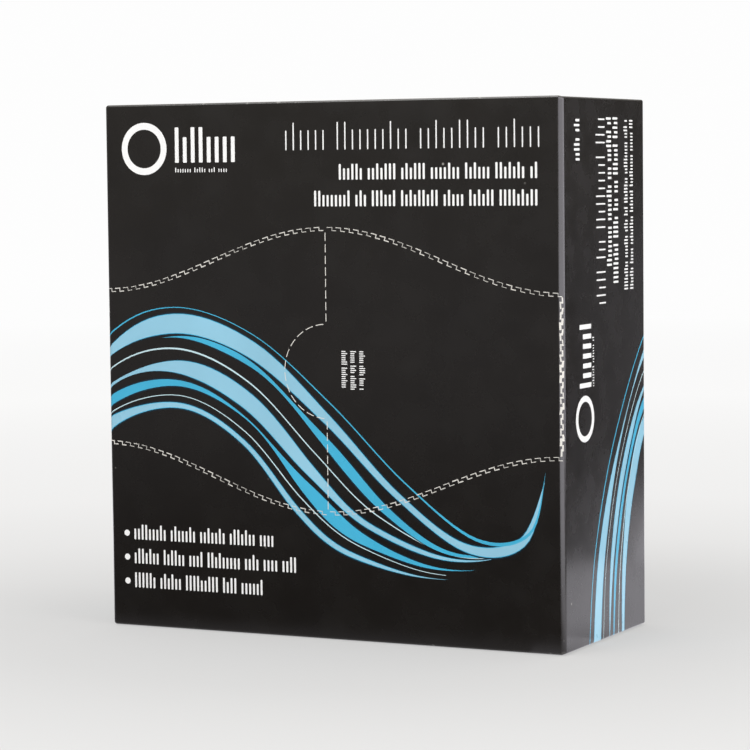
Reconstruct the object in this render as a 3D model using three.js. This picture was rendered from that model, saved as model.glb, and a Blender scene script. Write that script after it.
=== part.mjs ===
// Pop-up dispenser carton of interfolded foil sheets, in millimetres.
// +Z is up, the front with its tear-out window faces -Y, and the origin is the centre of the base.
// The carton is one creased and glued sheet of board. Each flat stretch between its creases is a plate here.

import * as THREE from 'three';

// Outside of the glued carton
const WIDTH = 134;
const DEPTH = 56.7;
const HEIGHT = 141.3;

// Board, the clearance between plates that lie on each other, and the width of a cut line
const BOARD = 0.45;
const CLEARANCE = 0.25;
const KERF = 0.3;
const PLY = BOARD + CLEARANCE;

// Tear-out window: two mirrored cosine waves about the middle of the front
const WINDOW_MID = HEIGHT / 2;
const WINDOW_MEAN = 29;
const WINDOW_SWING = 8.3;
const WAVE_STEP = 2.8;
const TAB_RADIUS = 12.4;
const TAB_SEGMENTS = 24;

// End flaps
const INNER_FLAP_SHORTER = 7;
const DUST_FLAP_LENGTH = 46;
const DUST_FLAP_TAPER = 5;
const FLAP_CORNER = 3;
const FLAP_SIDE_PLAY = 0.6;
const CORNER_SEGMENTS = 6;

// Glue flap of the upright seam, inside the back
const GLUE_FLAP_WIDTH = 15;
const GLUE_FLAP_TAPER = 6;
const GLUE_FLAP_END_PLAY = 3.5;

// Foil: sheets of 127 x 273 mm, each folded once across its length
const SHEET_WIDTH = 127;
const FOLDED_HEIGHT = 136.5;
const FRONT_ROOM = 4.6;
const LEADING_SHEETS = 12;
const SHEET = 0.2;
const LAYER = 0.4;
const FREE_EDGE_PLAY = 1.5;
const FOLD_SEGMENTS = 6;

const FRONT = -DEPTH / 2;
const BACK = DEPTH / 2;
const SIDE = WIDTH / 2;

const printedBoard = () => new THREE.MeshStandardMaterial({ color: 0x1b1814, roughness: 0.3, metalness: 0 });
const plainBoard = () => new THREE.MeshStandardMaterial({ color: 0xd8d6cf, roughness: 0.8, metalness: 0 });
const foil = () => new THREE.MeshStandardMaterial({ color: 0xc9cbce, roughness: 0.3, metalness: 1 });

const group = new THREE.Group();

function addPart(name, geometry, material) {
  const mesh = new THREE.Mesh(geometry, material);
  mesh.name = name;
  group.add(mesh);
}

function extruded(shape, depth, curveSegments = CORNER_SEGMENTS) {
  return new THREE.ExtrudeGeometry(shape, { depth, bevelEnabled: false, curveSegments });
}

// A plate that stands across Y, drawn in X and Z, with its outer face looking along -Y at y.
function uprightAcrossY(shape, y) {
  return extruded(shape, BOARD)
    .rotateX(Math.PI / 2)
    .translate(0, y + BOARD, 0);
}

// A plate drawn in Y and Z and extruded along +X from x.
function alongX(shape, x, length, curveSegments) {
  const axes = new THREE.Matrix4().makeBasis(
    new THREE.Vector3(0, 1, 0),
    new THREE.Vector3(0, 0, 1),
    new THREE.Vector3(1, 0, 0),
  );
  return extruded(shape, length, curveSegments).applyMatrix4(axes).translate(x, 0, 0);
}

function rectangle(left, bottom, right, top) {
  return polygon([[left, bottom], [right, bottom], [right, top], [left, top]]);
}

function polygon(points) {
  return new THREE.Shape(points.map(([a, b]) => new THREE.Vector2(a, b)));
}

function waveHeight(x) {
  return WINDOW_MEAN + WINDOW_SWING * Math.cos((2 * Math.PI * x) / WIDTH);
}

// Points of one wave from one x to another; side is 1 for the upper wave and -1 for the lower one.
function wavePoints(fromX, toX, side, offset) {
  const steps = Math.ceil(Math.abs(toX - fromX) / WAVE_STEP);
  const points = [];
  for (let i = 0; i <= steps; i++) {
    const x = fromX + ((toX - fromX) * i) / steps;
    points.push([x, WINDOW_MID + side * (waveHeight(x) + offset)]);
  }
  return points;
}

// Half circle round the middle of the window, on its -X side, from top to bottom.
function thumbArc(radius, chordX) {
  const halfAngle = Math.acos(-chordX / radius);
  const points = [];
  for (let i = 0; i <= TAB_SEGMENTS; i++) {
    const angle = Math.PI - halfAngle + (2 * halfAngle * i) / TAB_SEGMENTS;
    points.push([radius * Math.cos(angle), WINDOW_MID + radius * Math.sin(angle)]);
  }
  return points;
}

function addFront() {
  const wallBottom = PLY;
  const wallTop = HEIGHT - PLY;
  const cut = KERF / 2;

  const upper = [[SIDE, wallTop], [-SIDE, wallTop], ...wavePoints(-SIDE, SIDE, 1, cut)];
  addPart('front_panel_upper', uprightAcrossY(polygon(upper), FRONT), printedBoard());

  const lower = [[-SIDE, wallBottom], [SIDE, wallBottom], ...wavePoints(SIDE, -SIDE, -1, cut)];
  addPart('front_panel_lower', uprightAcrossY(polygon(lower), FRONT), printedBoard());

  // The halves of the window stop one ply short of the corners, which leaves them room to swing there.
  const corner = SIDE - PLY;
  const left = [
    ...wavePoints(-corner, -cut, -1, -cut),
    ...thumbArc(TAB_RADIUS + cut, -cut).reverse(),
    ...wavePoints(-cut, -corner, 1, -cut),
  ];
  addPart('left_tear_panel', uprightAcrossY(polygon(left), FRONT), printedBoard());

  const right = [...wavePoints(cut, corner, -1, -cut), ...wavePoints(corner, cut, 1, -cut)];
  addPart('right_tear_panel', uprightAcrossY(polygon(right), FRONT), printedBoard());

  const tab = thumbArc(TAB_RADIUS - cut, -cut);
  addPart('thumb_tab', uprightAcrossY(polygon(tab), FRONT), printedBoard());
}

function addWalls() {
  const wall = rectangle(FRONT + PLY, PLY, BACK - PLY, HEIGHT - PLY);
  addPart('left_side_panel', alongX(wall, -SIDE, BOARD), printedBoard());
  addPart('right_side_panel', alongX(wall, SIDE - BOARD, BOARD), printedBoard());

  const back = rectangle(-SIDE, PLY, SIDE, HEIGHT - PLY);
  addPart('back_panel', uprightAcrossY(back, BACK - BOARD), printedBoard());

  const creaseX = -SIDE + PLY;
  const glueFlap = polygon([
    [creaseX, GLUE_FLAP_END_PLAY],
    [creaseX + GLUE_FLAP_WIDTH, GLUE_FLAP_END_PLAY + GLUE_FLAP_TAPER],
    [creaseX + GLUE_FLAP_WIDTH, HEIGHT - GLUE_FLAP_END_PLAY - GLUE_FLAP_TAPER],
    [creaseX, HEIGHT - GLUE_FLAP_END_PLAY],
  ]);
  addPart('glue_flap', uprightAcrossY(glueFlap, BACK - PLY - BOARD), plainBoard());
}

// A flap drawn from its crease, which lies along Y at x = 0, out to +X, tapered to its rounded free corners.
function dustFlapShape(length, halfWidth) {
  const shape = new THREE.Shape();
  const tip = halfWidth - DUST_FLAP_TAPER;
  const cornerX = length - FLAP_CORNER;
  const straightTurn = Math.PI / 2 - Math.atan2(DUST_FLAP_TAPER, cornerX);
  shape.moveTo(0, -halfWidth);
  shape.absarc(cornerX, -tip + FLAP_CORNER, FLAP_CORNER, -straightTurn, 0, false);
  shape.absarc(cornerX, tip - FLAP_CORNER, FLAP_CORNER, 0, straightTurn, false);
  shape.lineTo(0, halfWidth);
  return shape;
}

// The major flap that lies under the outer one: from its crease along the back towards the front.
function innerFlapShape() {
  const halfWidth = SIDE - PLY - FLAP_SIDE_PLAY;
  const crease = BACK - PLY;
  const edge = FRONT + PLY + INNER_FLAP_SHORTER;
  const shape = new THREE.Shape();
  shape.moveTo(halfWidth, crease);
  shape.lineTo(-halfWidth, crease);
  shape.absarc(-halfWidth + FLAP_CORNER, edge + FLAP_CORNER, FLAP_CORNER, Math.PI, 1.5 * Math.PI, false);
  shape.absarc(halfWidth - FLAP_CORNER, edge + FLAP_CORNER, FLAP_CORNER, -Math.PI / 2, 0, false);
  return shape;
}

// The four flaps that close one end, stacked from the outside in; inward is 1 at the bottom, -1 at the top.
function addEnd(end, outside, inward) {
  const levelOf = (ply) => outside + inward * ply * PLY - (inward < 0 ? BOARD : 0);

  const outer = extruded(rectangle(-SIDE, FRONT, SIDE, BACK), BOARD).translate(0, 0, levelOf(0));
  addPart(`${end}_outer_flap`, outer, printedBoard());

  const inner = extruded(innerFlapShape(), BOARD).translate(0, 0, levelOf(1));
  addPart(`${end}_inner_flap`, inner, plainBoard());

  const halfWidth = BACK - 2 * PLY - FLAP_SIDE_PLAY;
  for (const [side, turn] of [['left', 0], ['right', Math.PI]]) {
    const flap = extruded(dustFlapShape(DUST_FLAP_LENGTH, halfWidth), BOARD)
      .translate(-SIDE + PLY, 0, levelOf(2))
      .rotateZ(turn);
    addPart(`${end}_${side}_dust_flap`, flap, plainBoard());
  }
}

// The section of a folded sheet in Y and Z: two layers joined by a half-round fold at the top or the bottom.
function foldedSheetShape(frontLayer, backLayer, foldAtTop) {
  const low = 3 * PLY;
  const high = low + FOLDED_HEIGHT;
  const frontFace = FRONT + BOARD + FRONT_ROOM + frontLayer * LAYER;
  const backFace = FRONT + BOARD + FRONT_ROOM + backLayer * LAYER + SHEET;
  const outer = (backFace - frontFace) / 2;
  const inner = outer - SHEET;
  const middle = frontFace + outer;
  const shape = new THREE.Shape();
  if (foldAtTop) {
    const free = low + FREE_EDGE_PLAY;
    shape.moveTo(backFace, free);
    shape.absarc(middle, high - outer, outer, 0, Math.PI, false);
    shape.lineTo(frontFace, free);
    shape.lineTo(frontFace + SHEET, free);
    shape.absarc(middle, high - outer, inner, Math.PI, 0, true);
    shape.lineTo(backFace - SHEET, free);
  } else {
    const free = high - FREE_EDGE_PLAY;
    shape.moveTo(frontFace, free);
    shape.absarc(middle, low + outer, outer, Math.PI, 2 * Math.PI, false);
    shape.lineTo(backFace, free);
    shape.lineTo(backFace - SHEET, free);
    shape.absarc(middle, low + outer, inner, 2 * Math.PI, Math.PI, true);
    shape.lineTo(frontFace + SHEET, free);
  }
  return shape;
}

// Interfolded sheets: each half lies between the halves of the sheet before it and the sheet after it,
// and the folds lie at the top and the bottom by turns, so that one sheet draws out the next.
function addFoil() {
  const lastLayer = 2 * LEADING_SHEETS - 1;
  for (let i = 0; i < LEADING_SHEETS; i++) {
    const frontLayer = Math.max(0, 2 * i - 1);
    const backLayer = Math.min(2 * i + 2, lastLayer);
    const section = foldedSheetShape(frontLayer, backLayer, i % 2 === 0);
    const name = `foil_sheet_${String(i + 1).padStart(2, '0')}`;
    addPart(name, alongX(section, -SHEET_WIDTH / 2, SHEET_WIDTH, FOLD_SEGMENTS), foil());
  }

  const stackFront = FRONT + BOARD + FRONT_ROOM + (lastLayer + 1) * LAYER;
  const stackBack = BACK - 2 * PLY;
  const stack = rectangle(stackFront, 3 * PLY, stackBack, 3 * PLY + FOLDED_HEIGHT);
  addPart('foil_stack', alongX(stack, -SHEET_WIDTH / 2, SHEET_WIDTH), foil());
}

addFront();
addWalls();
addEnd('bottom', 0, 1);
addEnd('top', HEIGHT, -1);
addFoil();

export default group;
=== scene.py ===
import math
import random

import bpy
from mathutils import Matrix, Vector, noise
from mathutils.geometry import delaunay_2d_cdt


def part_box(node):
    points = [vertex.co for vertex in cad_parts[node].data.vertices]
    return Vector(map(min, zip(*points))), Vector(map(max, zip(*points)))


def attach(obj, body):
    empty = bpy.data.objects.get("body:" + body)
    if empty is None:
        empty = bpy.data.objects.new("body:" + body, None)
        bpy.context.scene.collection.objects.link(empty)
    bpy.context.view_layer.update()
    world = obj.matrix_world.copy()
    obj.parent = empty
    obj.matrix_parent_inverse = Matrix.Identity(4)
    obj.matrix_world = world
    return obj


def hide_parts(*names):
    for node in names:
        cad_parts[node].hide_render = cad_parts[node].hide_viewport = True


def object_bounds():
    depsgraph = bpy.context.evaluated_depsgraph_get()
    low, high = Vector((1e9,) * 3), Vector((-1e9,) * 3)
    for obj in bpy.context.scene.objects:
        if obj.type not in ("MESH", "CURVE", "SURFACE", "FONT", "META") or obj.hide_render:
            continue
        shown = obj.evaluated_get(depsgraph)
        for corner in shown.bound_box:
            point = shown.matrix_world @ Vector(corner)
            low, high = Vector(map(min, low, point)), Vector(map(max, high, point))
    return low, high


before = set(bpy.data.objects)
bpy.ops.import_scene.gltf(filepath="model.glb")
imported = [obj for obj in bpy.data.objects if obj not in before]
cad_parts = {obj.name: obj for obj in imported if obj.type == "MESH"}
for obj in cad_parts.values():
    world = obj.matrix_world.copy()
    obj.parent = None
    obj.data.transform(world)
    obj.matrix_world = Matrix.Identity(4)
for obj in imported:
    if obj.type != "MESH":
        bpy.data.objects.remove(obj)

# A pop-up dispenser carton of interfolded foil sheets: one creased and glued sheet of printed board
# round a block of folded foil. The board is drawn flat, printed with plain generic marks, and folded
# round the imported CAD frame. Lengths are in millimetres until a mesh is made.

MM = 0.001
CAD_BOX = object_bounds()
WIDTH, DEPTH, HEIGHT = (CAD_BOX[1] - CAD_BOX[0]) / MM
MID = HEIGHT / 2


def node_box(node):
    """Lowest and highest corner of a CAD node, in millimetres."""
    low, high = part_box(node)
    return low / MM, high / MM


# The board and its folds
BOARD = node_box("back_panel")[1].y - node_box("back_panel")[0].y
CREASE = 1.4        # outside radius of the upright creases
ROLL = 0.5          # outside radius where a wall turns in towards the ends
NEST = 0.2          # how far the side and back walls stay below the outer flaps
FLAP_GAP = 0.25     # between an outer flap and the walls round it
FLAP_CORNER = 2.0   # radius of its free corners
FLAP_CORNER_STEPS = 6
FLAP_GRID = (16, 10)
NEST_EASE = 5       # length over which a wall comes down to that
SEAM_SET_BACK = 0.9 # of the back wall's free edge from the glued corner
SEAM_STEP = 0.5     # how much deeper the side wall lies where it passes under the back wall
SEAM_EASE = 6       # length over which it goes down there
CROWN = 0.22        # how far the middle of a wall stands out
RIPPLE = 0.10       # height and lengths of the soft ripples of a wall
RIPPLE_LENGTHS = (38, 46)
FLAP_SAG = 0.18     # how far the middle of an outer flap lies below its rim
SAG_EASE = 5        # length over which it goes down there
FLAP_RIPPLE = 0.06  # height and length of its soft ripples
FLAP_RIPPLE_LENGTH = 30
FLAP_EASE = 6       # length over which they start at its fold

# Distances round the carton, from the middle of the front: its creases
CORNERS = [WIDTH / 2, WIDTH / 2 + DEPTH, WIDTH * 1.5 + DEPTH]
HALF_ROUND = WIDTH + DEPTH

# The tear-out window
KERF = 0.3
WINDOW_TOP = node_box("right_tear_panel")[1].z + KERF / 2
WINDOW_END = node_box("front_panel_upper")[0].z - KERF / 2
WINDOW_MEAN = (WINDOW_TOP + WINDOW_END) / 2 - MID
WINDOW_SWING = (WINDOW_TOP - WINDOW_END) / 2
TAB_RADIUS = KERF / 2 - node_box("thumb_tab")[0].x
ZIPPER_PITCH = 2.55
ZIPPER_HEIGHT = 0.85
ZIPPER_RAGGED = 0.03
ZIPPER_STEP = 0.6   # where in its pitch a stroke steps down
ZIPPER_OVERLAP = 0.1
STROKE = 0.22       # width of a cut line that shows the white core of the board
DASH = 2.25
DASH_GAP = 0.9
CORNER_PITCH = 2.7
CORNER_HEIGHT = 0.75
CORNER_MARGIN = 0.6 # from the wave's end to the corner's tear line
MIDDLE_MARGIN = 0.5 # from the middle of a wave to its first stroke
TAB_MARGIN = 0.7    # from the thumb tab to the first dash above and below it
TIP_MARGIN = 1      # from a wave to the dash next to it
ARC_MARGIN = 0.8    # from an end of the thumb tab's arc to its first dash
# Of each corner's tear line: how far in from the middle of the crease it lies (below 0 it lies towards
# the side wall), how wide its strokes have opened, and how ragged they are
CORNER_TEARS = {"corner_left": (-0.5, 0.16, 0.05), "corner_right": (0.2, 0.66, 0.2)}
GROOVE = 0.12       # depth of the board where a stroke crosses its tear line

CHAMFER = 0.12      # of a printed bar's corners

# Inks, which are also the order of a printed piece's material slots
BLACK, DEEP, LIGHT, CYAN, PALE, WHITE, RAW = range(7)


def clamp(value, low=0.0, high=1.0):
    return max(low, min(high, value))


def ease(value):
    value = clamp(value)
    return value * value * (3 - 2 * value)


def mix(a, b, share):
    return a + (b - a) * share


# ---------------------------------------------------------------- the folded board


def round_carton(s):
    """Where distance s round the carton is on its outside, seen from above, and the way out there."""
    side = -1 if s < 0 else 1
    left = abs(s)
    turns = sum(clamp((left - corner + CREASE) / (2 * CREASE)) for corner in CORNERS)
    left -= 2 * CREASE * turns
    x, y = 0.0, -DEPTH / 2 + CREASE
    legs = [(WIDTH / 2, 1, 0), (DEPTH - CREASE, 0, 1), (WIDTH - CREASE, -1, 0), (DEPTH, 0, -1)]
    for length, dx, dy in legs:
        step = min(left, length - CREASE)
        x += dx * step
        y += dy * step
        left -= step
    angle = turns * math.pi / 2
    nx, ny = math.sin(angle), -math.cos(angle)
    return side * (x + CREASE * nx), y + CREASE * ny, side * nx, ny


def bulge(s, v):
    """How far the board stands out of its plane: a slight crown and ripples, none at the creases."""
    edges = [0.0] + CORNERS + [2 * HALF_ROUND]
    left = abs(s)
    if left < CORNERS[0]:
        across = left / CORNERS[0]
    else:
        start = max(c for c in CORNERS if c <= left)
        end = min(e for e in edges if e > left)
        across = 2 * (left - start) / (end - start) - 1
    up = (v - MID) / MID
    window = clamp(1 - across * across) * clamp(1 - up * up)
    ripple = noise.noise(Vector((s / RIPPLE_LENGTHS[0], v / RIPPLE_LENGTHS[1], 3.7))) * RIPPLE
    return window * CROWN + math.sqrt(window) * ripple


def wall_point(s, v, depth=0.0):
    """The board at distance s round the carton and height v, at a depth below its outer face."""
    x, y, nx, ny = round_carton(s)
    turn = 0.0
    if v > HEIGHT - ROLL:
        turn = (v - HEIGHT + ROLL) / ROLL
    elif v < ROLL:
        turn = (v - ROLL) / ROLL
    angle = turn * math.pi / 2
    reach = (ROLL - depth) * math.cos(angle) - ROLL + bulge(s, v)
    past_seam = -CORNERS[1] + SEAM_EASE - s
    if past_seam > 0:
        reach -= SEAM_STEP * ease(past_seam / SEAM_EASE)
    height = clamp(v, ROLL, HEIGHT - ROLL) + (ROLL - depth) * math.sin(angle)
    nested = NEST * clamp((abs(s) - CORNERS[0]) / CREASE + 0.5)
    height -= nested * (ease((v - HEIGHT) / NEST_EASE + 1) - ease(1 - v / NEST_EASE))
    return Vector((x + nx * reach, y + ny * reach, height))


def flap_point(end):
    """An end's outer flap, drawn as seen from outside. end is 1 at the top and -1 at the bottom."""
    outside = HEIGHT if end > 0 else 0.0

    def place(u, w, depth=0.0):
        x, y = u, w * end
        rim = min(WIDTH / 2 - abs(x), DEPTH / 2 - y) - ROLL - FLAP_GAP
        sag = FLAP_SAG * (1 - ease(rim / SAG_EASE))
        ripple = noise.noise(Vector((x / FLAP_RIPPLE_LENGTH, y / FLAP_RIPPLE_LENGTH, 9.1 + end)))
        ripple = FLAP_RIPPLE * (1 + ripple) * ease((y + DEPTH / 2 - ROLL) / FLAP_EASE)
        inward = sag + depth + ripple
        return Vector((x, y, outside - end * inward))

    return place


def normal_of(place, a, b):
    step = 0.02
    along = place(a + step, b) - place(a - step, b)
    up = place(a, b + step) - place(a, b - step)
    return along.cross(up).normalized()


# ---------------------------------------------------------------- flat drawing


def area(loop):
    return sum(a[0] * b[1] - b[0] * a[1] for a, b in zip(loop, loop[1:] + loop[:1])) / 2


def shifted(loop, ds, dv=0.0):
    return [(s + ds, v + dv) for s, v in loop]


def disc(s, v, radius, steps=20):
    turns = [2 * math.pi * i / steps for i in range(steps)]
    return [(s + radius * math.cos(a), v + radius * math.sin(a)) for a in turns]


def block(left, low, right, high):
    """A plain bar with its corners taken off."""
    c = min(CHAMFER, (right - left) / 3, (high - low) / 3)
    return [
        (left + c, low), (right - c, low), (right, low + c), (right, high - c),
        (right - c, high), (left + c, high), (left, high - c), (left, low + c),
    ]


def through(points, t):
    """A smooth curve through points, with t from 0 to 1 along it (Catmull-Rom)."""
    last = len(points) - 1
    where = clamp(t) * last
    i = min(int(where), last - 1)
    f = where - i
    p0, p1, p2, p3 = (Vector(points[clamp(j, 0, last)]) for j in (i - 1, i, i + 1, i + 2))
    return 0.5 * (
        2 * p1 + (p2 - p0) * f
        + (2 * p0 - 5 * p1 + 4 * p2 - p3) * f ** 2
        + (3 * p1 - p0 - 3 * p2 + p3) * f ** 3
    )


# ---------------------------------------------------------------- cut lines


def wave(side):
    """A path along one wave of the window, from x, with its direction of offset pointing up."""
    rate = 2 * math.pi / WIDTH

    def path(x, offset):
        slope = -side * WINDOW_SWING * rate * math.sin(rate * x)
        length = math.hypot(1, slope)
        height = MID + side * (WINDOW_MEAN + WINDOW_SWING * math.cos(rate * x))
        return x - offset * slope / length, height + offset / length

    return path


def upright(s, direction=1):
    """A path straight up the board, whose offset points against s."""

    def path(v, offset):
        return s - offset * direction, v

    return path


def zipper(path, start, end, pitch, height, ragged, rng):
    """Z-shaped strokes along a path: an upper dash, a step down and a lower dash, which reaches under
    the next stroke's start. Also gives the line that runs through all of them."""
    count = round((end - start) / pitch)
    pitch = (end - start) / (count + ZIPPER_OVERLAP)
    corners = [(0.0, 0.5), (ZIPPER_STEP, 0.5), (ZIPPER_STEP, -0.5), (1 + ZIPPER_OVERLAP, -0.5)]
    strokes = []
    for i in range(count):
        stroke = []
        for along, offset in corners:
            jog = rng.uniform(-ragged, ragged)
            stroke.append((start + (i + along) * pitch, offset * height + jog))
        strokes.append(stroke)
    line = [path(*p) for stroke in strokes for p in stroke]
    return strokes, line


def stroke_shape(path, stroke, width):
    """The outline of one Z-shaped stroke of that width."""
    w = width / 2
    (x0, h0), (x1, h1), (x2, h2), (x3, h3) = stroke
    loop = [
        (x0, h0 + w), (x1 + w, h1 + w), (x2 + w, h2 + w), (x3, h3 + w),
        (x3, h3 - w), (x2 - w, h2 - w), (x1 - w, h1 - w), (x0, h0 - w),
    ]
    return [path(*p) for p in loop]


DASH_STEPS = 3


def dashes(path, start, end):
    """Straight cuts with gaps along a path, as outlines."""
    count = round((end - start + DASH_GAP) / (DASH + DASH_GAP))
    pitch = (end - start + DASH_GAP) / count
    shapes = []
    for i in range(count):
        low, high = start + i * pitch, start + (i + 1) * pitch - DASH_GAP
        steps = [mix(low, high, k / DASH_STEPS) for k in range(DASH_STEPS + 1)]
        outer = [path(d, STROKE / 2) for d in steps]
        inner = [path(d, -STROKE / 2) for d in reversed(steps)]
        shapes.append(outer + inner)
    return shapes


def thumb_arc(distance, offset=0.0):
    """A path along the half circle of the thumb tab, from its top end to its bottom end."""
    angle = math.pi / 2 + distance / TAB_RADIUS
    radius = TAB_RADIUS + offset
    return radius * math.cos(angle), MID + radius * math.sin(angle)


OPENED = (0.6, 1.25)    # least and greatest share of its line's width that a stroke has opened to
ARC_STEPS = 40


def cut_lines():
    """The tear lines that pieces share, the white strokes on them and where the strokes are deepest."""
    rng = random.Random(11)
    lines, white, deep = {}, [], {}

    def add(name, path, start, end, pitch, height, width, ragged):
        strokes, lines[name] = zipper(path, start, end, pitch, height, ragged, rng)
        for stroke in strokes:
            opened = width * rng.uniform(*OPENED)
            white.append((stroke_shape(path, stroke, opened), RAW))
            for along, offset in stroke[1:3]:
                deep[rounded(path(along, offset))] = GROOVE

    sizes = (ZIPPER_PITCH, ZIPPER_HEIGHT, STROKE, ZIPPER_RAGGED)
    for side, name in ((1, "upper"), (-1, "lower")):
        add(f"{name}_left", wave(side), -WIDTH / 2, -MIDDLE_MARGIN, *sizes)
        add(f"{name}_right", wave(side), MIDDLE_MARGIN, WIDTH / 2, *sizes)
    low, high = 2 * MID - WINDOW_END + CORNER_MARGIN, WINDOW_END - CORNER_MARGIN
    for side, name in ((-1, "corner_left"), (1, "corner_right")):
        set_in, opened, ragged = CORNER_TEARS[name]
        path = upright(side * (WIDTH / 2 - set_in), side)
        add(name, path, low, high, CORNER_PITCH, CORNER_HEIGHT, opened, ragged)

    centre = upright(0.0)
    near, far = TAB_RADIUS + TAB_MARGIN, WINDOW_TOP - TIP_MARGIN - MID
    for start, end in ((MID + near, MID + far), (MID - far, MID - near)):
        white.extend((shape, RAW) for shape in dashes(centre, start, end))
    half = math.pi * TAB_RADIUS
    white.extend((shape, RAW) for shape in dashes(thumb_arc, ARC_MARGIN, half - ARC_MARGIN))
    lines["tab"] = [thumb_arc(half * i / ARC_STEPS) for i in range(ARC_STEPS + 1)]
    return lines, white, deep


def rounded(point):
    return round(point[0], 3), round(point[1], 3)


# ---------------------------------------------------------------- print


TALL_SHARE = 0.4    # how many bars are tall ones, and how high the others are
LOW_BAR = 0.72
WORD_GAP = 0.9      # extra space between two groups of bars, in pitches


def words(length, height, stroke, pitch, seed):
    """Plain upright bars in word-like groups, as stand-in for a line of print. Starts at 0, 0."""
    rng = random.Random(seed)
    shapes = []
    at, left_in_word = 0.0, rng.randint(5, 9)
    while at + stroke <= length + 1e-6:
        high = height if rng.random() < TALL_SHARE else height * LOW_BAR
        shapes.append(block(at, 0, at + stroke, high))
        left_in_word -= 1
        at += pitch
        if left_in_word == 0:
            at += pitch * WORD_GAP
            left_in_word = rng.randint(3, 10)
    return shapes


RING_HOLE = 0.74    # share of the plain ring's radius that is its hole
RING_SIDES = 48


def emblem(size):
    """A plain ring: its white disc and the dark hole in it. Starts at 0, 0."""
    half = size / 2
    hole = half * RING_HOLE
    return [(disc(half, half, half, RING_SIDES), WHITE), (disc(half, half, hole, RING_SIDES), BLACK)]


def upward(shapes, s, v):
    """Turns shapes so that they read upwards, starting at s and v."""
    return [[(s - y, v + x) for x, y in loop] for loop in shapes]


def downward(shapes, s, v):
    return [[(s + y, v - x) for x, y in loop] for loop in shapes]


RIBBON_STEPS = 90
TANGENT_STEP = 0.002
THINNEST = 0.03     # half width under which a band isn't drawn


def ribbon(upper, lower, share, widths, start, end):
    """A band that flows between two guide curves. share says how far it lies from the upper to the
    lower one, and widths how wide it is, both as values evenly spaced along it."""

    def centre(t):
        part = through([(value, 0) for value in share], (t - start) / (end - start))[0]
        return through(upper, t).lerp(through(lower, t), part)

    left, right = [], []
    for i in range(RIBBON_STEPS + 1):
        f = i / RIBBON_STEPS
        t = mix(start, end, f)
        direction = (centre(t + TANGENT_STEP) - centre(t - TANGENT_STEP)).normalized()
        across = Vector((-direction.y, direction.x))
        half = max(0.0, through([(value, 0) for value in widths], f)[0]) / 2
        middle = centre(t)
        if half < THINNEST:
            if i in (0, RIBBON_STEPS):
                left.append(tuple(middle))
            continue
        left.append(tuple(middle + across * half))
        right.append(tuple(middle - across * half))
    return left + right[::-1]


# Guide curves of the flowing bands: over one side wall, round the crease and across the next wall
UPPER_GUIDE = [
    (-107, -3), (-103, 24), (-90, 52), (-67, 79), (-46, 87), (-22, 80),
    (1, 62), (22, 42), (42, 28), (57, 30), (62, 46),
]
LOWER_GUIDE = [
    (-83, -3), (-82, 18), (-77, 38), (-67, 54), (-45, 60), (-25, 51),
    (-9, 33), (4, 19), (20, 12), (42, 13), (60, 26),
]


RIM_FROM = 0.9      # width from which a band has rims, and how much its two rims add to its width
DEEP_RIM = 1.0
EDGE_RIM = 0.32


def bands():
    """The flowing bands of the print. A wide one lies on a wider band of deep blue, and a wide light
    one has a cyan edge."""
    made = []

    def band(share, widths, ink, start=0.0, end=1.0):
        edge = CYAN if ink == LIGHT else ink
        for extra, colour in ((DEEP_RIM, DEEP), (EDGE_RIM, edge), (0.0, ink)):
            values = [width + extra if width > RIM_FROM else width for width in widths]
            made.append((ribbon(UPPER_GUIDE, LOWER_GUIDE, share, values, start, end), colour))

    for row in (
        ([0.96, 0.95, 0.98, 0.97, 0.60], [1.2, 2.6, 4.2, 1.6, 1.0, 1.3, 1.0, 0.0], LIGHT, 0, 0.83),
        ([0.82, 0.83, 0.88, 0.86, 0.54], [0.25, 0.35, 0.3, 0.2, 0.3, 0.25, 0.15], PALE, 0, 0.82),
        ([0.68, 0.7, 0.76, 0.74, 0.42], [0.5, 1.3, 1.0, 2.1, 1.0, 0.5, 3.6, 1.2, 0.0], CYAN, 0, 0.85),
        ([0.56, 0.54, 0.6, 0.58, 0.22], [0.0, 2.0, 2.4, 0.7, 4.2, 3.8, 1.6, 1.0, 0.0], LIGHT, 0, 0.87),
        ([0.38, 0.36, 0.42, 0.44, 0.20], [0.2, 0.2, 0.3, 0.45, 0.3, 0.3, 0.15], PALE, 0, 0.86),
        ([0.3, 0.27, 0.3, 0.28, 0.12], [0.0, 1.3, 0.8, 2.4, 1.5, 0.8, 0.0], CYAN, 0.38, 0.89),
        ([0.2, 0.2, 0.14, 0.12, 0.10], [4.6, 3.6, 0.4, 4.8, 4.2, 2.0, 1.4, 2.4, 0.0], LIGHT),
        ([-0.02, 0.0, 0.0, -0.02, -0.04], [0.3, 0.5, 0.4, 0.2, 0.3, 0.4, 0.9, 0.0], CYAN),
    ):
        band(*row)
    return made


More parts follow.
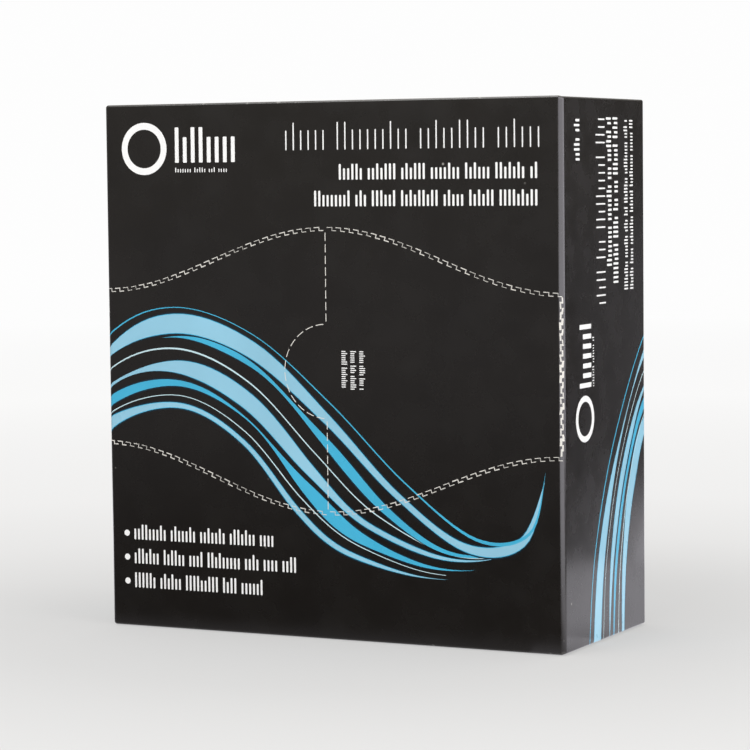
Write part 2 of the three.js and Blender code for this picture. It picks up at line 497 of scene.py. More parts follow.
def front_print():
    """Marks of the front, in s and v."""
    left = -WIDTH / 2
    marks = []

    def line(s, v, length, height, stroke, pitch, seed):
        shapes = words(length, height, stroke, pitch, seed)
        marks.extend((shifted(shape, s, v), WHITE) for shape in shapes)

    line(-11.5, 128.5, 73, 7.2, 0.36, 2.2, 3)
    line(4.2, 120.7, 57, 4.1, 0.6, 1.22, 4)
    line(-3.1, 113.8, 64.5, 4.1, 0.6, 1.22, 5)
    for row, (length, seed) in enumerate(((43.5, 6), (50, 7), (41.5, 8))):
        v = 23.6 - 6.56 * row
        marks.append((disc(left + 5.1, v + 1.7, 0.85), WHITE))
        line(left + 7.4, v, length, 4.1, 0.56, 1.16, seed)

    marks += [(shifted(shape, left + 5.4, 122.4), ink) for shape, ink in emblem(14.0)]
    line(left + 22, 125.6, 22.5, 9.4, 1.15, 2.45, 12)
    line(left + 22, 123.0, 16.5, 1.3, 0.3, 0.75, 13)

    for row, seed in enumerate((21, 22, 23)):
        shapes = downward(words(10.5, 1.7, 0.26, 0.55, seed), 9.6 - 2.6 * row, MID + 5.5)
        marks.extend((shape, WHITE) for shape in shapes)
    return marks


def side_print():
    """Marks of a side wall, all reading upwards; d is the distance from the crease before it."""
    start = -CORNERS[1]
    marks = []

    def line(d, v, length, height, stroke, pitch, seed):
        shapes = upward(words(length, height, stroke, pitch, seed), start + d, v)
        marks.extend((shape, WHITE) for shape in shapes)

    line(11.3, 125, 11.2, 3.6, 0.62, 1.25, 31)
    line(28.2, 88, 48.2, 6.2, 0.4, 2.0, 32)
    line(32.6, 97.6, 38.6, 3.4, 0.6, 1.2, 33)
    line(37.1, 93, 43.2, 3.4, 0.6, 1.2, 34)
    line(44.0, 91, 45, 2.6, 0.42, 0.86, 35)
    line(47.9, 91, 45, 2.4, 0.42, 0.86, 36)

    marks += [(upward([shape], start + 19.8, 53)[0], ink) for shape, ink in emblem(12.0)]
    line(18.0, 67, 17.5, 7.6, 1.25, 2.5, 37)
    line(19.9, 67, 13, 1.2, 0.28, 0.7, 38)
    return marks


def whole_print():
    """Everything printed on the walls: each side wall and the wall after it carry the same design."""
    once = bands() + front_print() + side_print()
    return once + [(shifted(loop, HALF_ROUND), ink) for loop, ink in once]


# ---------------------------------------------------------------- from flat drawing to solid board


def between(low, high, count):
    """The places that divide a stretch into count equal steps."""
    return [low + (high - low) * k / count for k in range(1, count)]


def ruled(low, high, columns, rows):
    """Straight lines across a box of a flat drawing, at the columns and rows that lie inside it."""
    lines = [((s, low[1]), (s, high[1])) for s in columns if low[0] < s < high[0]]
    return lines + [((low[0], v), (high[0], v)) for v in rows if low[1] < v < high[1]]


CREASE_STEPS = 4        # in each half of a crease
ROLL_STEPS = 5
END_ROWS = (3.0, 6.0)   # further lines, where the board comes down to its ends
GRID = 14


def fold_lines(low, high):
    """Lines where the board has to bend inside a box of the flat drawing: creases and a loose grid."""
    columns, rows = [], []
    for corner in CORNERS:
        for side in (-1, 1):
            steps = range(-CREASE_STEPS, CREASE_STEPS + 1)
            columns += [side * corner + CREASE * k / CREASE_STEPS for k in steps]
    rolled = [ROLL * k / ROLL_STEPS for k in range(ROLL_STEPS + 1)]
    for low_rows in (rolled, END_ROWS):
        rows += [*low_rows, *(HEIGHT - row for row in low_rows)]
    columns += between(low[0], high[0], GRID)
    rows += between(low[1], high[1], GRID)
    return ruled(low, high, columns, rows)


def box_of(loop):
    return (
        (min(p[0] for p in loop), min(p[1] for p in loop)),
        (max(p[0] for p in loop), max(p[1] for p in loop)),
    )


def apart(a, b):
    return any(a[1][k] < b[0][k] or b[1][k] < a[0][k] for k in (0, 1))


def triangulate(outline, prints, lines):
    """Triangles of a flat drawing, cut along every print's edge: its points, and rows of corners and
    ink. Where prints overlap, the later one lies on top."""
    points, edges, faces, inks = [], [], [], []

    def add(loop):
        first = len(points)
        points.extend(Vector(p) for p in loop)
        return list(range(first, len(points)))

    for loop, ink in [(outline, BLACK)] + prints:
        faces.append(add(loop if area(loop) > 0 else loop[::-1]))
        inks.append(ink)
    for line in lines:
        edges.append(add(line))
    points, _, triangles, _, _, sources = delaunay_2d_cdt(points, edges, faces, 0, 1e-4, True)
    rows = [(t, inks[max(of)]) for t, of in zip(triangles, sources) if 0 in of]
    return points, rows


def board_piece(name, outline, prints, place, lines, deep=None):
    """A closed piece of board: its printed outer face, its plain inner face and its cut edge."""
    deep = deep or {}
    bounds = box_of(outline)
    prints = [(loop, ink) for loop, ink in prints if not apart(bounds, box_of(loop))]
    points, rows = triangulate(outline, prints, lines)
    used = sorted({corner for corners, _ in rows for corner in corners})
    index = {corner: i for i, corner in enumerate(used)}
    outer = [place(*points[c], deep.get(rounded(points[c]), 0.0)) for c in used]
    inner = [place(*points[c], BOARD) for c in used]
    normals = [normal_of(place, *points[c]) for c in used]
    count = len(used)

    faces, inks, corner_normals = [], [], []
    for corners, ink in rows:
        a, b, c = (index[corner] for corner in corners)
        faces.append((a, b, c))
        inks.append(ink)
        corner_normals += [normals[a], normals[b], normals[c]]
    for corners, _ in rows:
        a, b, c = (index[corner] for corner in corners)
        faces.append((c + count, b + count, a + count))
        inks.append(RAW)
        corner_normals += [-normals[c], -normals[b], -normals[a]]
    forward = {(f[k], f[(k + 1) % 3]) for f in faces[:len(rows)] for k in range(3)}
    both = outer + inner
    for a, b in sorted(forward):
        if (b, a) not in forward:
            face = (b, a, a + count, b + count)
            flat = (both[a] - both[b]).cross(both[a + count] - both[a]).normalized()
            faces.append(face)
            inks.append(RAW)
            corner_normals += [flat] * 4
    return make_mesh(name, both, faces, inks, corner_normals, PRINTED)


SHARP_ANGLE = 40    # in degrees, from which an edge of the foil is sharp


def make_mesh(name, points, faces, slots, corner_normals, materials):
    mesh = bpy.data.meshes.new(name)
    mesh.from_pydata([p * MM for p in points], [], faces)
    for material in materials:
        mesh.materials.append(material)
    mesh.polygons.foreach_set("material_index", slots)
    mesh.polygons.foreach_set("use_smooth", [True] * len(faces))
    mesh.update()
    if corner_normals:
        mesh.normals_split_custom_set(corner_normals)
    else:
        mesh.set_sharp_from_angle(angle=math.radians(SHARP_ANGLE))
    piece = bpy.data.objects.new(name, mesh)
    bpy.context.scene.collection.objects.link(piece)
    return piece


def stand_in(piece, body, slot, *nodes):
    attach(piece, body)
    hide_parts(*nodes)


# ---------------------------------------------------------------- materials


class Nodes:
    """A short way to write the node tree of a material or a world."""

    def __init__(self, owner, where="Object"):
        owner.use_nodes = True
        self.owner = owner
        self.tree = owner.node_tree
        self.where = self.add("ShaderNodeTexCoord").outputs[where]

    def add(self, kind, values=None, **settings):
        node = self.tree.nodes.new(kind)
        for key, value in settings.items():
            setattr(node, key, value)
        for key, value in (values or {}).items():
            if isinstance(value, bpy.types.NodeSocket):
                self.tree.links.new(value, node.inputs[key])
            else:
                node.inputs[key].default_value = value
        return node

    def noise(self, scale, detail=3.0, where=None):
        values = {"Vector": where or self.where, "Scale": scale, "Detail": detail}
        return self.add("ShaderNodeTexNoise", values).outputs["Fac"]

    def stretched(self, x, y, z):
        return self.add("ShaderNodeMapping", {"Vector": self.where, "Scale": (x, y, z)}).outputs[0]

    def fit(self, source, low, high, to_low=0.0, to_high=1.0):
        """Maps low to to_low and high to to_high in a straight line, and stays within those two."""
        values = {"Value": source, "From Min": low, "From Max": high}
        values.update({"To Min": to_low, "To Max": to_high})
        return self.add("ShaderNodeMapRange", values).outputs["Result"]

    def blend(self, share, a, b):
        node = self.add("ShaderNodeMix", data_type="RGBA")
        for socket, value in ((node.inputs[0], share), (node.inputs[6], a), (node.inputs[7], b)):
            if isinstance(value, bpy.types.NodeSocket):
                self.tree.links.new(value, socket)
            else:
                socket.default_value = value
        return node.outputs[2]

    def maths(self, operation, a, b=0.0):
        return self.add("ShaderNodeMath", {0: a, 1: b}, operation=operation).outputs[0]

    def bump(self, height, distance, strength=1.0, under=None):
        values = {"Height": height, "Distance": distance, "Strength": strength}
        if under is not None:
            values["Normal"] = under
        return self.add("ShaderNodeBump", values).outputs["Normal"]

    def glow(self, colour, strength):
        return self.add("ShaderNodeEmission", {"Color": colour, "Strength": strength}).outputs[0]

    def either(self, share, first, second):
        return self.add("ShaderNodeMixShader", {0: share, 1: first, 2: second}).outputs[0]

    def surface(self, source):
        """Shows source instead of the shader that a new tree starts with."""
        output = self.tree.get_output_node("ALL")
        self.tree.nodes.remove(output.inputs["Surface"].links[0].from_node)
        self.tree.links.new(source, output.inputs["Surface"])

    def finish(self, colour, roughness, normal, **fixed):
        """Feeds the material's shader, and sets its fixed values on its own sockets."""
        shader = self.tree.nodes["Principled BSDF"]
        links = {"Base Color": colour, "Roughness": roughness, "Normal": normal}
        for key, source in links.items():
            self.tree.links.new(source, shader.inputs[key])
        for key, value in fixed.items():
            shader.inputs[key.replace("_", " ")].default_value = value
        return self.owner


def new_material(name):
    return Nodes(bpy.data.materials.new(name))


def shade(colour, factor):
    return tuple(channel * factor for channel in colour) + (1.0,)


EDGE_WEAR_AND_HIGHLIGHT = (0.1, 1.1)  # how near to the box's side the rubbed wear and the painted edge highlight are full, and where they end


def edge_wear_and_highlight(n):
    """Where the ink has rubbed off in spots on the folded edges, and a faint painted highlight along all
    of them.
    """
    shares = []
    axes = n.add("ShaderNodeSeparateXYZ", {0: n.where}).outputs
    for value, middle, half in zip(axes, (0, 0, MID), (WIDTH / 2, DEPTH / 2, MID)):
        away = n.maths("ABSOLUTE", n.maths("SUBTRACT", value, middle * MM))
        shares.append(n.fit(away, (half - EDGE_WEAR_AND_HIGHLIGHT[1]) * MM, (half - EDGE_WEAR_AND_HIGHLIGHT[0]) * MM))
    x, y, z = shares
    standing = n.maths("MULTIPLY", x, y)
    level = n.maths("ADD", n.maths("MULTIPLY", x, z), n.maths("MULTIPLY", y, z))
    edges = n.maths("ADD", standing, level)
    rubbed = n.fit(n.noise(420, 4), 0.60, 0.72)
    spots = n.fit(n.maths("MULTIPLY", edges, rubbed), 0.25, 1.0, 0.0, 0.55)
    # A faint painted highlight, a lighter grey along every folded edge
    painted_edge_highlight = n.fit(edges, 0.5, 1.0, 0.0, 0.09)
    return n.maths("ADD", spots, painted_edge_highlight)


def printed_material(name, colour, vary, rough, specks=0.0):
    """Ink under a gloss coating on board: faint mottling, fine fibre and, on the dark ink, dust, rubbed
    edges and a faint painted edge highlight.
    """
    n = new_material(name)
    tone = n.fit(n.noise(45, 4), 0.3, 0.7)
    colours = n.blend(tone, shade(colour, 1 - vary), shade(colour, 1 + vary))
    if specks:
        cells = n.add("ShaderNodeTexVoronoi", {"Vector": n.where, "Scale": 150.0})
        dot = n.fit(cells.outputs["Distance"], 0.035, 0.06, specks, 0.0)
        few = n.fit(n.noise(70, 1), 0.60, 0.66)
        colours = n.blend(n.maths("MULTIPLY", dot, few), colours, (0.30, 0.29, 0.27, 1))
        # Rubbed spots, and a faint painted highlight along the folded edges, in light grey
        colours = n.blend(edge_wear_and_highlight(n), colours, (0.42, 0.41, 0.39, 1))
    roughness = n.fit(n.noise(120, 5), 0.3, 0.7, rough - 0.05, rough + 0.06)
    fibre = n.bump(n.noise(2600, 2), 0.00001, 0.2)
    skin = n.bump(n.noise(55, 2), 0.0002, 0.15, fibre)
    return n.finish(colours, roughness, skin, Coat_Weight=0.5, Coat_Roughness=0.12)


def raw_material(name, colour):
    """The uncoated inside and the cut edges of the board, with long grey fibres."""
    n = new_material(name)
    fibres = n.noise(1500, 4, n.stretched(1.0, 1.0, 0.3))
    tone = n.fit(fibres, 0.3, 0.7)
    colours = n.blend(tone, shade(colour, 0.86), shade(colour, 1.06))
    blotch = n.fit(n.noise(60, 3), 0.35, 0.7, 0.0, 0.25)
    colours = n.blend(blotch, colours, shade(colour, 0.8))
    roughness = n.fit(n.noise(400, 3), 0.3, 0.7, 0.75, 0.92)
    return n.finish(colours, roughness, n.bump(fibres, 0.00006, 0.5))


def foil_material(name, layered=False):
    """Soft bright aluminium: long dents, pebble embossing and faint rolling lines along x."""
    n = new_material(name)
    lines = n.noise(900, 2, n.stretched(0.04, 1.0, 1.0))
    tone = n.fit(lines, 0.3, 0.7)
    colours = n.blend(tone, (0.88, 0.89, 0.91, 1), (0.94, 0.95, 0.96, 1))
    roughness = n.fit(n.noise(110, 4), 0.3, 0.7, 0.22, 0.30)
    normal = n.bump(n.noise(20, 1, n.stretched(1.0, 1.0, 0.55)), 0.003, 0.8)
    dents = ((34, 0.5, 0.0022), (70, -0.35, 0.0009))
    for scale, tilt, depth in dents:
        turned = n.add("ShaderNodeMapping", {
            "Vector": n.where, "Rotation": (0.0, tilt, 0.0), "Scale": (1.0, 1.0, 0.16)})
        normal = n.bump(n.noise(scale, 1, turned.outputs[0]), depth, 0.7, normal)
    pebbles = n.add("ShaderNodeTexVoronoi", {
        "Vector": n.stretched(1.0, 0.05, 1.0), "Scale": 760.0, "Randomness": 0.8})
    normal = n.bump(pebbles.outputs["Distance"], 0.0004, 0.55, normal)
    normal = n.bump(n.noise(260, 3), 0.00006, 0.4, normal)
    if layered:
        normal = n.bump(n.noise(2400, 1, n.stretched(0.02, 1.0, 0.02)), 0.0002, 0.8, normal)
    return n.finish(colours, roughness, normal, Metallic=0.95)


PRINTED = [
    printed_material("print_black", (0.0066, 0.0052, 0.0040), 0.12, 0.26, specks=0.8),
    printed_material("print_deep_blue", (0.002, 0.016, 0.032), 0.1, 0.28),
    printed_material("print_light_blue", (0.25, 0.51, 0.66), 0.06, 0.30),
    printed_material("print_cyan", (0.042, 0.39, 0.61), 0.08, 0.30),
    printed_material("print_pale", (0.50, 0.68, 0.74), 0.06, 0.30),
    printed_material("print_white", (0.82, 0.82, 0.82), 0.03, 0.34),
    raw_material("board_raw", (0.66, 0.64, 0.60)),
]


# ---------------------------------------------------------------- the pieces


def wall_outlines():
    """Flat outline of each piece that the walls are cut into."""
    lines, white, deep = cut_lines()
    left, right = -WIDTH / 2, WIDTH / 2
    top, low = WINDOW_END, 2 * MID - WINDOW_END
    crest, trough = WINDOW_TOP, 2 * MID - WINDOW_TOP
    tab_high, tab_low = MID + TAB_RADIUS, MID - TAB_RADIUS
    upper = lines["upper_left"] + [(0, crest)] + lines["upper_right"]
    lower = lines["lower_left"] + [(0, trough)] + lines["lower_right"]
    back_end = CORNERS[2] - SEAM_SET_BACK
    side_end = -CORNERS[1] - CREASE
    outlines = {
        "front_panel_upper": [(right, HEIGHT), (left, HEIGHT), (left, top)] + upper + [(right, top)],
        "front_panel_lower": [(left, 0), (right, 0), (right, low)] + lower[::-1] + [(left, low)],
        "left_tear_panel": [(left, low)] + lines["lower_left"] + [(0, trough), (0, tab_low)]
        + lines["tab"][-2:0:-1] + [(0, tab_high), (0, crest)] + lines["upper_left"][::-1]
        + [(left, top)] + lines["corner_left"][::-1],
        "right_tear_panel": [(0, tab_low), (0, trough)] + lines["lower_right"] + [(right, low)]
        + lines["corner_right"] + [(right, top)] + lines["upper_right"][::-1]
        + [(0, crest), (0, tab_high)],
        "thumb_tab": lines["tab"],
        "right_side_panel": [(right, 0), (CORNERS[1], 0), (CORNERS[1], HEIGHT), (right, HEIGHT)]
        + [(right, top)] + lines["corner_right"][::-1] + [(right, low)],
        "left_side_panel": [(side_end, 0), (left, 0), (left, low)] + lines["corner_left"]
        + [(left, top), (left, HEIGHT), (side_end, HEIGHT)],
        "back_panel": [(CORNERS[1], 0), (back_end, 0), (back_end, HEIGHT), (CORNERS[1], HEIGHT)],
    }
    return outlines, white, deep


def build_walls():
    outlines, white, deep = wall_outlines()
    prints = whole_print() + white
    bodies = {name: name for name in ("left_tear_panel", "right_tear_panel", "thumb_tab")}
    for name, outline in outlines.items():
        lines = fold_lines(*box_of(outline))
        piece = board_piece(f"{name}_board", outline, prints, wall_point, lines, deep)
        stand_in(piece, bodies.get(name, "carton"), "printed_board", name)


def flap_outline():
    """An outer flap: joined to the front along its whole width, free on its other three sides."""
    half = WIDTH / 2 - ROLL - FLAP_GAP
    front, back = -DEPTH / 2 + ROLL, DEPTH / 2 - ROLL - FLAP_GAP
    loop = [(-half, front), (half, front)]
    for side in (1, -1):
        turn = [math.pi / 2 * k / FLAP_CORNER_STEPS for k in range(FLAP_CORNER_STEPS + 1)]
        for a in turn if side > 0 else turn[::-1]:
            x = half - FLAP_CORNER + FLAP_CORNER * math.cos(a)
            loop.append((side * x, back - FLAP_CORNER + FLAP_CORNER * math.sin(a)))
    return loop


def build_outer_flaps():
    for name, end in (("top", 1), ("bottom", -1)):
        outline = [(x, y * end) for x, y in flap_outline()]
        low, high = box_of(outline)
        columns, rows = (between(low[k], high[k], FLAP_GRID[k]) for k in (0, 1))
        lines = ruled(low, high, columns, rows)
        prints = []
        if end > 0:
            bars = words(73, 7.4, 0.42, 2.35, 3)
            prints = [(shifted(bar, -WIDTH / 2 + 12, -4), WHITE) for bar in bars]
        piece = board_piece(f"{name}_outer_flap_board", outline, prints, flap_point(end), lines)
        stand_in(piece, "carton", "printed_board", f"{name}_outer_flap")


# ---------------------------------------------------------------- foil


FOIL_THICKNESS = 0.10
SHEET_COLUMNS = 30
SHEET_ROWS = 30
FOLD_STEPS = 8


def crinkle(x, z):
    """How far the soft foil waves out of its plane. All sheets share it, so that they never cross."""
    slow = noise.noise(Vector((x / 46, z / 60, 1.3)))
    quick = noise.noise(Vector((x / 15, z / 24, 5.2)))
    fold = abs(noise.noise(Vector(((x + 0.5 * z) / 30, (z - 0.3 * x) / 70, 8.4))))
    return 1.0 * slow + 0.4 * quick + 1.3 * fold


def sheet_path(low, high, fold_up):
    """The middle of a folded sheet in y and z: its front half, the round fold and its back half."""
    radius = (high.y - low.y - FOIL_THICKNESS) / 2
    middle = (low.y + high.y) / 2
    rows = [mix(low.z, high.z - radius, k / SHEET_ROWS) for k in range(SHEET_ROWS)]
    turn = [math.pi * k / FOLD_STEPS for k in range(FOLD_STEPS + 1)]
    path = [(middle - radius, z) for z in rows]
    path += [(middle - radius * math.cos(a), high.z - radius + radius * math.sin(a)) for a in turn]
    path += [(middle + radius, z) for z in reversed(rows)]
    if fold_up:
        return path
    return [(y, low.z + high.z - z) for y, z in path]


def thick_strip(name, path, left, right, material):
    """A closed thin solid: a path in y and z, drawn out along x and waved by the crinkle."""
    columns = [mix(left, right, k / SHEET_COLUMNS) for k in range(SHEET_COLUMNS + 1)]
    points, faces = [], []
    for side in (1, -1):
        for x in columns:
            for i, (y, z) in enumerate(path):
                before, after = path[max(i - 1, 0)], path[min(i + 1, len(path) - 1)]
                across = Vector((before[1] - after[1], after[0] - before[0])).normalized()
                half = side * FOIL_THICKNESS / 2
                points.append(Vector((x, y + across.x * half + crinkle(x, z), z + across.y * half)))
    rows, layer = len(path), len(path) * len(columns)
    for k in range(SHEET_COLUMNS):
        for i in range(rows - 1):
            a = k * rows + i
            faces.append((a, a + 1, a + rows + 1, a + rows))
            faces.append((a + layer, a + rows + layer, a + rows + 1 + layer, a + 1 + layer))
        for i in (0, rows - 1):
            a, b = k * rows + i, (k + 1) * rows + i
            face = (a, b, b + layer, a + layer)
            faces.append(face if i == 0 else face[::-1])
    for k in (0, SHEET_COLUMNS):
        for i in range(rows - 1):
            a = k * rows + i
            face = (a, a + layer, a + 1 + layer, a + 1)
            faces.append(face if k == 0 else face[::-1])
    return make_mesh(name, points, faces, [0] * len(faces), None, [material])


def build_foil():
    sheet_foil, stack_foil = foil_material("foil_sheet"), foil_material("foil_layers", layered=True)
    stack_low, stack_high = node_box("foil_stack")
    names = sorted(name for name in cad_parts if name.startswith("foil_sheet_"))
    for name in names:
        low, high = node_box(name)
        path = sheet_path(low, high, low.z > stack_low.z + 0.5)
        piece = thick_strip(f"{name}_leaf", path, low.x, high.x, sheet_foil)
        stand_in(piece, "carton", "foil", name)
    build_stack(stack_low, stack_high, stack_foil)


STACK_LAYERS = 48
STACK_COLUMNS = 24
STACK_LEVELS = 14
STACK_UNEVEN = 0.5  # how much further in one folded end lies than another, at most
STACK_NOTCH = 0.35  # depth between one folded end and the next


def build_stack(low, high, material):
    """The sheets behind the leading ones: a block whose folded ends stand slightly uneven."""
    rng = random.Random(5)
    pitch = (high.y - low.y) / STACK_LAYERS
    top, bottom = [], []
    for k in range(STACK_LAYERS):
        y = low.y + k * pitch
        upper_fold = high.z - rng.uniform(0, STACK_UNEVEN)
        lower_fold = low.z + rng.uniform(0, STACK_UNEVEN)
        top += [(y, upper_fold - STACK_NOTCH), (y + pitch * 0.5, upper_fold)]
        bottom += [(y, lower_fold + STACK_NOTCH), (y + pitch * 0.5, lower_fold)]
    top.append((high.y, high.z - STACK_UNEVEN))
    bottom.append((high.y, low.z + STACK_UNEVEN))
    bars = []
    for (y, z_low), (_, z_high) in zip(bottom, top):
        bars.append([(y, mix(z_low, z_high, j / STACK_LEVELS)) for j in range(STACK_LEVELS + 1)])
    loop = bars[0] + [bar[-1] for bar in bars[1:]]
    loop += bars[-1][-2::-1] + [bar[0] for bar in bars[-2:0:-1]]
    points, faces = [], []
    for k in range(STACK_COLUMNS + 1):
        x = mix(low.x, high.x, k / STACK_COLUMNS)
        for y, z in loop:
            fade = clamp((high.y - y) / (high.y - low.y))
            points.append(Vector((x, y + crinkle(x, z) * fade, z)))
    count = len(loop)
    for k in range(STACK_COLUMNS):
        for i in range(count):
            a, b = k * count + i, k * count + (i + 1) % count
            faces.append((a, b, b + count, a + count))
    faces.append(tuple(range(count))[::-1])
    faces.append(tuple(range(STACK_COLUMNS * count, (STACK_COLUMNS + 1) * count)))
    piece = make_mesh("foil_stack_block", points, faces, [0] * len(faces), None, [material])
    stand_in(piece, "carton", "foil", "foil_stack")


def dress_inner_board():
    """The flaps inside keep their CAD shape and take the plain side of the board."""
    material = raw_material("board_inside", (0.70, 0.68, 0.63))
    for name in ("glue_flap", "top_inner_flap", "bottom_inner_flap"):
        wear(name, material)
    for end in ("top", "bottom"):
        for side in ("left", "right"):
            wear(f"{end}_{side}_dust_flap", material)


def wear(node, material):
    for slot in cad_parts[node].material_slots:
        slot.material = material


# ---------------------------------------------------------------- stage, light and camera


# Brightness of what the board mirrors: the room, the room behind the carton and the ceiling
ROOM_BRIGHTNESS = 0.24
REAR_BRIGHTNESS = 0.06
CEILING_BRIGHTNESS = 1.1
# Colour of the floor's glowing painted reflection
PAINTED_REFLECTION_WHITE = (0.95, 0.93, 1.0, 1)
BACKDROP_WHITE = (0.985, 0.985, 0.985, 1)

# The floor, in metres
FLOOR_RADIUS = 6.0
FLOOR_SIDES = 96
FLOOR_DROP = 0.0002   # of the floor below the carton's base, so that the two don't share a plane
FADE_RADIUS = 2.5     # how far the fade reaches, its places on the way and how bright the floor's glow is there, with painted shade darkest at the carton
FLOOR_GLOW_AND_SHADE = ((0.0, 0.60), (0.04, 0.63), (0.08, 0.75), (0.13, 0.84), (0.32, 0.975), (1.0, 0.985))


def build_floor():
    """A pale round floor, which looks different directly and in the gloss of the board: directly it is
    lit paper under a glow, in the gloss a glowing painted reflection.
    """
    mesh = bpy.data.meshes.new("floor")
    ring = [Vector((x, y, 0)) for x, y in disc(0, 0, FLOOR_RADIUS, FLOOR_SIDES)]
    mesh.from_pydata(ring, [], [tuple(range(FLOOR_SIDES))])
    floor = bpy.data.objects.new("floor", mesh)
    floor.location.z = -FLOOR_DROP
    bpy.context.scene.collection.objects.link(floor)

    n = new_material("floor_paper_and_glow")
    distance = n.add("ShaderNodeVectorMath", {0: n.where}, operation="LENGTH").outputs["Value"]
    glossy = n.add("ShaderNodeLightPath").outputs["Is Glossy Ray"]
    n.surface(n.either(glossy, floor_seen(n, distance), floor_painted_reflection(n, distance)))
    mesh.materials.append(n.owner)


def floor_seen(n, distance):
    """Directly: partly lit paper under a glow that fades into the bright background, with painted shade
    darkest at the carton.
    """
    # A glow that paints the floor's brightness, with painted shade round the carton
    ramp = n.add("ShaderNodeValToRGB", {"Fac": n.fit(distance, 0.0, FADE_RADIUS)})
    elements = ramp.color_ramp.elements
    while len(elements) < len(FLOOR_GLOW_AND_SHADE):
        elements.new(0.5)
    for element, (position, value) in zip(elements, FLOOR_GLOW_AND_SHADE):
        element.position = position
        element.color = (value, value, value, 1)
    paper = n.add("ShaderNodeBsdfDiffuse", {"Color": (0.62, 0.62, 0.62, 1)}).outputs[0]
    return n.either(n.fit(distance, 0.2, 1.6, 0.72, 1.0), paper, n.glow(ramp.outputs["Color"], 1.0))


def floor_painted_reflection(n, distance):
    """In the gloss: a glow that paints the reflection of bright paper close behind the carton and beside
    its front, and of a dim room beyond, with a painted lighter streak."""
    x, y, _ = n.add("ShaderNodeSeparateXYZ", {0: n.where}).outputs
    # 0 before the carton and 1 behind it
    behind = n.fit(y, -0.05, 0.03)
    # How far to the right of the carton's side a place lies, as a share of how far back it lies
    aside = n.maths("DIVIDE", n.maths("SUBTRACT", x, WIDTH / 2 * MM), y)
    # The painted reflection of the room: darkest near the carton, and dark on the far right too
    rear = n.fit(aside, 0.46, 0.34, 0.0, 0.2)
    dim = n.fit(distance, 0.2, 0.8, 0.05, n.fit(behind, 0.0, 1.0, ROOM_BRIGHTNESS, rear))
    # The painted highlight streak, which fades as it goes back
    painted_streak = n.fit(aside, 0.36, 0.32, 0.0, 1.5)
    painted_streak = n.maths("MULTIPLY", painted_streak, n.fit(distance, 0.27, 0.45, 1.0, 0.0))
    dim = n.maths("ADD", dim, n.maths("MULTIPLY", painted_streak, behind))
    # The two painted bright reflections of paper, behind the carton and beside its front
    near = n.maths("MULTIPLY", n.fit(distance, 0.17, 0.20, 1.0, 0.0), behind)
    paper = n.fit(y, 0.0, 0.16, 0.9, 0.98)
    beside = n.maths("MULTIPLY", n.fit(x, 0.07, 0.12), n.maths("SUBTRACT", 1.0, behind))
    beside = n.maths("MULTIPLY", beside, n.fit(distance, 0.12, 0.35, 1.2, 3.0))
    return n.glow(PAINTED_REFLECTION_WHITE, n.maths("ADD", n.fit(near, 0.0, 1.0, dim, paper), beside))


def build_world():
    """A bright backdrop for the camera, and for all other rays a dim room under a bright ceiling."""
    world = bpy.data.worlds.new("studio")
    bpy.context.scene.world = world
    n = Nodes(world, "Generated")
    _, y, z = n.add("ShaderNodeSeparateXYZ", {0: n.where}).outputs
    walls = n.fit(y, 0.3, 0.8, ROOM_BRIGHTNESS, REAR_BRIGHTNESS)
    strength = n.fit(z, 0.08, 1.0, walls, CEILING_BRIGHTNESS)
    room = n.add("ShaderNodeBackground", {"Color": (1.0, 0.96, 0.90, 1), "Strength": strength})
    backdrop = n.add("ShaderNodeBackground", {"Color": BACKDROP_WHITE})
    camera = n.add("ShaderNodeLightPath").outputs["Is Camera Ray"]
    n.surface(n.either(camera, room.outputs[0], backdrop.outputs[0]))


# The wall that the crease mirrors, in metres and in degrees from straight in front of the carton
TENT_RADIUS = 0.52
TENT_HEIGHTS = (0.005, 0.24)
TENT_START, TENT_END = 18, 134
TENT_STEPS = 24
TENT_BRIGHTNESS = 3.2


def build_tent():
    """A curved white lit wall round the +X side, as of a light tent. It is only seen in reflections."""
    points, faces = [], []
    for i in range(TENT_STEPS + 1):
        a = math.radians(mix(TENT_START, TENT_END, i / TENT_STEPS))
        for z in TENT_HEIGHTS:
            points.append((TENT_RADIUS * math.sin(a), -TENT_RADIUS * math.cos(a), z))
    for i in range(TENT_STEPS):
        faces.append((2 * i, 2 * i + 2, 2 * i + 3, 2 * i + 1))
    mesh = bpy.data.meshes.new("tent_wall")
    mesh.from_pydata(points, [], faces)
    wall = bpy.data.objects.new("tent_wall", mesh)
    wall.visible_camera = False
    wall.visible_shadow = False
    wall.visible_diffuse = False
    bpy.context.scene.collection.objects.link(wall)
    n = new_material("tent_light")
    n.surface(n.glow((0.95, 0.92, 1.0, 1), TENT_BRIGHTNESS))
    mesh.materials.append(n.owner)


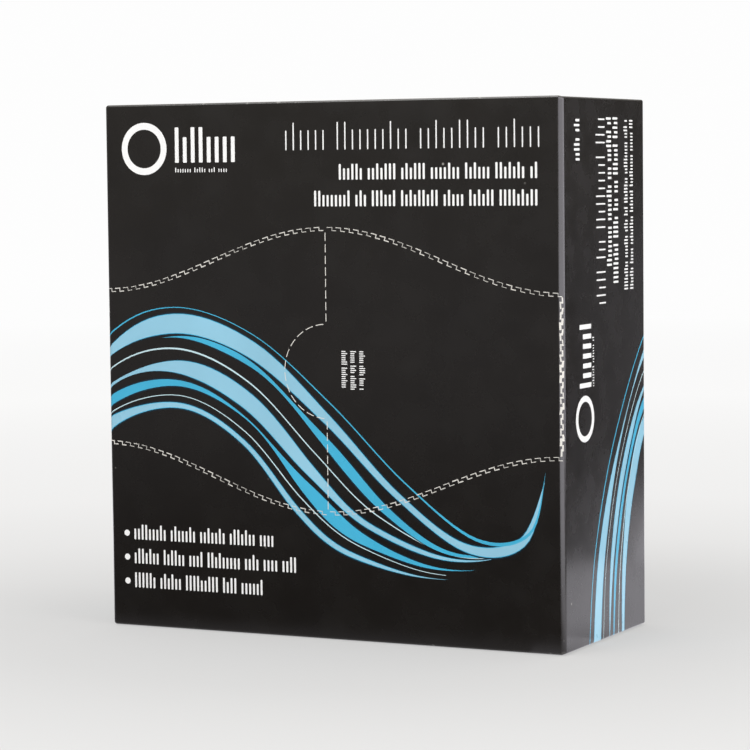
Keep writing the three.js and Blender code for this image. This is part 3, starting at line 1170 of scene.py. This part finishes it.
def softbox(name, azimuth, elevation, distance, width, height, radiance):
    """A large soft light aimed at the carton. Azimuth 0 is in front of it and 90 at its +X side."""
    data = bpy.data.lights.new(name, "AREA")
    data.shape = "RECTANGLE"
    data.size, data.size_y = width, height
    data.energy = radiance * math.pi * width * height
    light = bpy.data.objects.new(name, data)
    a, e = math.radians(azimuth), math.radians(elevation)
    back = Vector((math.sin(a) * math.cos(e), -math.cos(a) * math.cos(e), math.sin(e)))
    light.location = back * distance + Vector((0, 0, MID * MM))
    light.rotation_mode = "QUATERNION"
    light.rotation_quaternion = back.to_track_quat("Z", "Y")
    light.visible_camera = False
    bpy.context.scene.collection.objects.link(light)
    return light


def build_lights():
    """A front and a top light, and a side one that the board doesn't mirror."""
    softbox("front_softbox", -16, 42, distance=1.5, width=1.0, height=0.9, radiance=4.6)
    softbox("top_softbox", 180, 80, distance=1.4, width=1.3, height=1.3, radiance=2.2)
    side = softbox("side_softbox", 80, 12, distance=1.5, width=1.2, height=0.9, radiance=5.5)
    side.visible_glossy = False


# The camera: its azimuth, elevation and roll in degrees, and its distance in widths of the carton.
# CAMERA_AIM is how far right of and above the picture's middle the carton's middle lies, in widths too.
CAMERA_ANGLES = (26.563, 4.059, -0.596)
CAMERA_DISTANCE = 5.8523
CAMERA_AIM = (0.00058, 0.02118)
CAMERA_LENS = 139.17
CAMERA_SENSOR = 36


def build_camera():
    azimuth, elevation, roll = (math.radians(a) for a in CAMERA_ANGLES)
    back = Vector((
        math.sin(azimuth) * math.cos(elevation),
        -math.cos(azimuth) * math.cos(elevation),
        math.sin(elevation),
    ))
    right = (-back).cross(Vector((0, 0, 1))).normalized()
    up = right.cross(-back)
    tilted_right = right * math.cos(roll) + up * math.sin(roll)
    tilted_up = up * math.cos(roll) - right * math.sin(roll)
    place = back * CAMERA_DISTANCE - tilted_right * CAMERA_AIM[0] - tilted_up * CAMERA_AIM[1]
    place = place * WIDTH + Vector((0, 0, MID))

    data = bpy.data.cameras.new("camera")
    data.sensor_width = CAMERA_SENSOR
    data.lens = CAMERA_LENS
    data.clip_start, data.clip_end = 0.01, 20
    camera = bpy.data.objects.new("camera", data)
    turn = Matrix((tilted_right, tilted_up, back)).transposed()
    camera.matrix_world = Matrix.Translation(place * MM) @ turn.to_4x4()
    bpy.context.scene.collection.objects.link(camera)
    bpy.context.scene.camera = camera


build_camera()
build_world()
build_floor()
build_tent()
build_lights()
build_walls()
build_outer_flaps()
build_foil()
dress_inner_board()

scene = bpy.context.scene
scene.view_settings.view_transform = "Standard"
scene.view_settings.look = "None"
